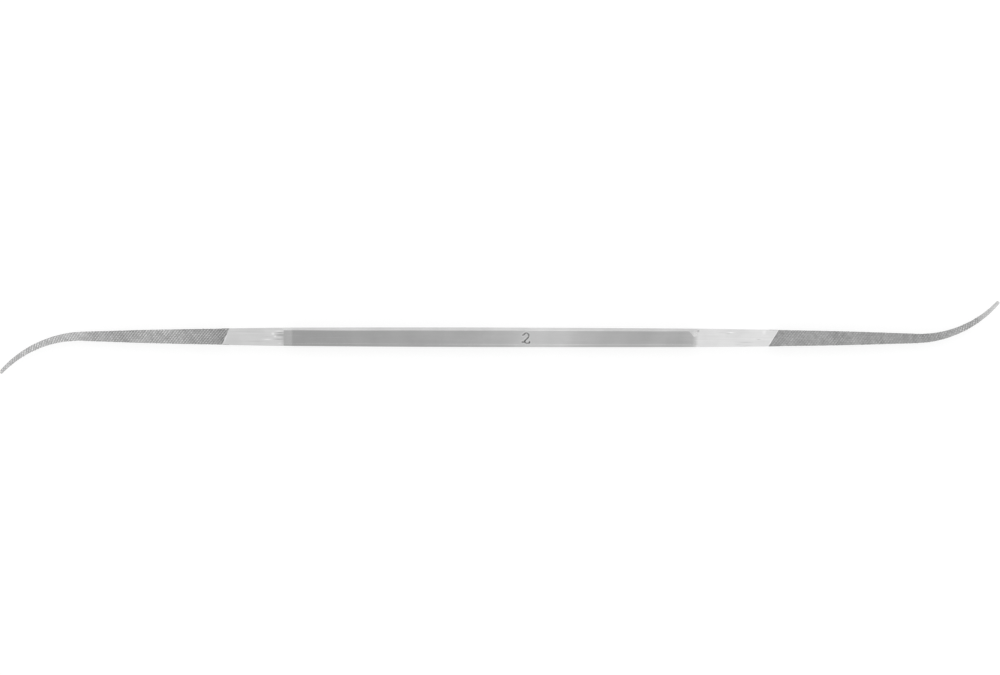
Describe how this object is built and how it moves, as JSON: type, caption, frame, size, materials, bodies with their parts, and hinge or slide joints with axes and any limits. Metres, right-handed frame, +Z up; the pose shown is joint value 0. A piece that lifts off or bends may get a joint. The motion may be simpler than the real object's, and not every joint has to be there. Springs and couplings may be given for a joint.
{
  "type": "riffler file",
  "caption": "Double-ended riffler file: a chamfered square grip, plain ground necks, and tapered, curled square ends with double-cut teeth.",
  "frame": {"origin": "on the plane that the grip's underside rests on, below the middle of the tool, which is the centre of the bounding box's base", "axes": "+X along the grip to the right end, whose tip curls towards +Y. The left tip curls towards -Y. +Z up, away from the surface that the tool lies on"},
  "size_m": [0.15, 0.0114, 0.003],
  "materials": {
    "shank_steel": "satin, drawn and lightly polished",
    "neck_steel": "bright, ground lengthways",
    "file_steel": "matt grey, double cut and hardened"
  },
  "bodies": {
    "root": {"shank": "shank_steel", "left_neck": "neck_steel", "right_neck": "neck_steel", "left_file_end": "file_steel", "right_file_end": "file_steel"}
  },
  "joints": []
}
